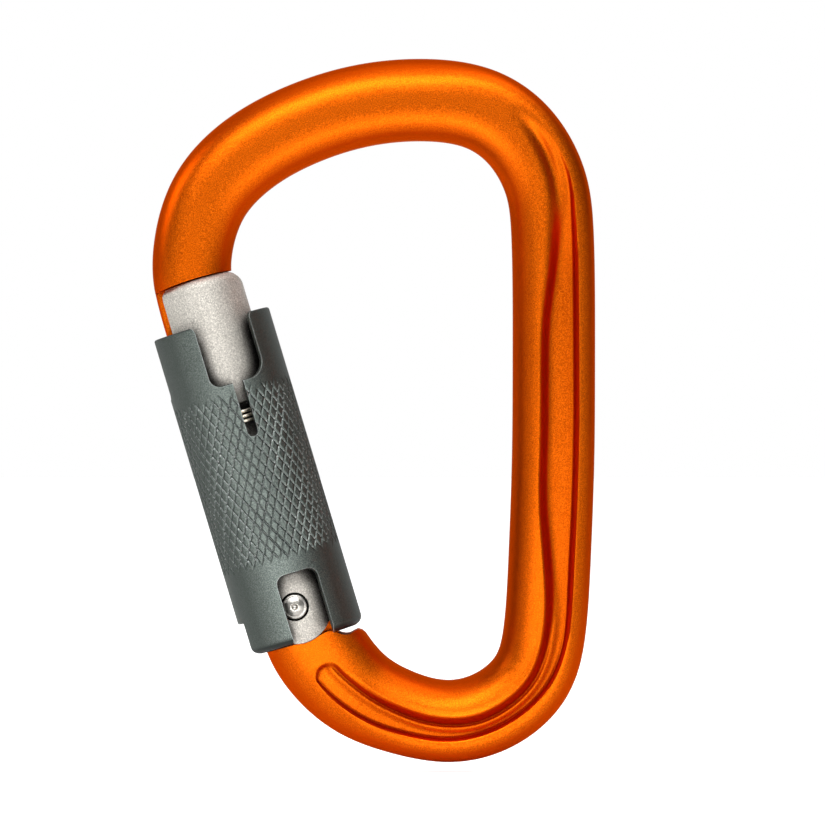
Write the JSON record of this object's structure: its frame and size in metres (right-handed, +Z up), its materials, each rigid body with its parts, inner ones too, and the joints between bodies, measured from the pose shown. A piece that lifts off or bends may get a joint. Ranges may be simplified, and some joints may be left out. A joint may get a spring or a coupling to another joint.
{
  "type": "locking carabiner",
  "caption": "Pear-shaped aluminium carabiner with an inward-swinging gate and a knurled spring sleeve that lifts and turns to lock it.",
  "frame": {"origin": "middle of the bounding box at rest", "axes": "+Z up towards the wide top bar, +X from the gate towards the spine, -Y is the front face"},
  "size_m": [0.0663, 0.0182, 0.1054],
  "materials": {
    "anodised_orange": "satin bead-blasted orange anodising with a fine grain",
    "blasted_silver": "bead-blasted bare aluminium",
    "anodised_grey": "satin grey anodising, knurled grip",
    "rivet_steel": "polished stainless steel",
    "spring_steel": "drawn spring wire",
    "guide_polymer": "moulded acetal"
  },
  "bodies": {
    "frame": {"body": "anodised_orange"},
    "gate_unit": {"gate": "blasted_silver", "hinge_rivet": "rivet_steel", "retaining_ring": "spring_steel", "gate_spring": "spring_steel", "sleeve_spring": "spring_steel"},
    "plunger_unit": {"plunger": "rivet_steel"},
    "collar_unit": {"guide_collar": "guide_polymer"},
    "sleeve_unit": {"locking_sleeve": "anodised_grey"}
  },
  "joints": [
    {"name": "gate_swing", "type": "hinge", "parent": "frame", "child": "gate_unit", "pos_m": [-0.0117, 0, -0.02925], "axis": [0, 1, 0], "range_deg": [0, 35], "stiffness_Nm_per_rad": 0.25},
    {"name": "plunger_travel", "type": "slide", "parent": "gate_unit", "child": "plunger_unit", "axis": [-0.2882, 0, 0.9576], "range_m": [0, 0.0016], "deforming": ["gate_spring"]},
    {"name": "sleeve_lift", "type": "slide", "parent": "gate_unit", "child": "collar_unit", "axis": [-0.2882, 0, 0.9576], "range_m": [0, 0.0049], "stiffness_N_per_m": 60, "deforming": ["sleeve_spring"]},
    {"name": "sleeve_twist", "type": "hinge", "parent": "collar_unit", "child": "sleeve_unit", "pos_m": [-0.0117, 0, -0.02925], "axis": [-0.2882, 0, 0.9576], "range_deg": [0, 90], "stiffness_Nm_per_rad": 0.01}
  ],
  "couplings": [
    {"joint": "sleeve_lift", "follows": "gate_swing", "m_per_rad": 0.008},
    {"joint": "plunger_travel", "follows": "gate_swing", "m_per_rad": 0.0026}
  ]
}
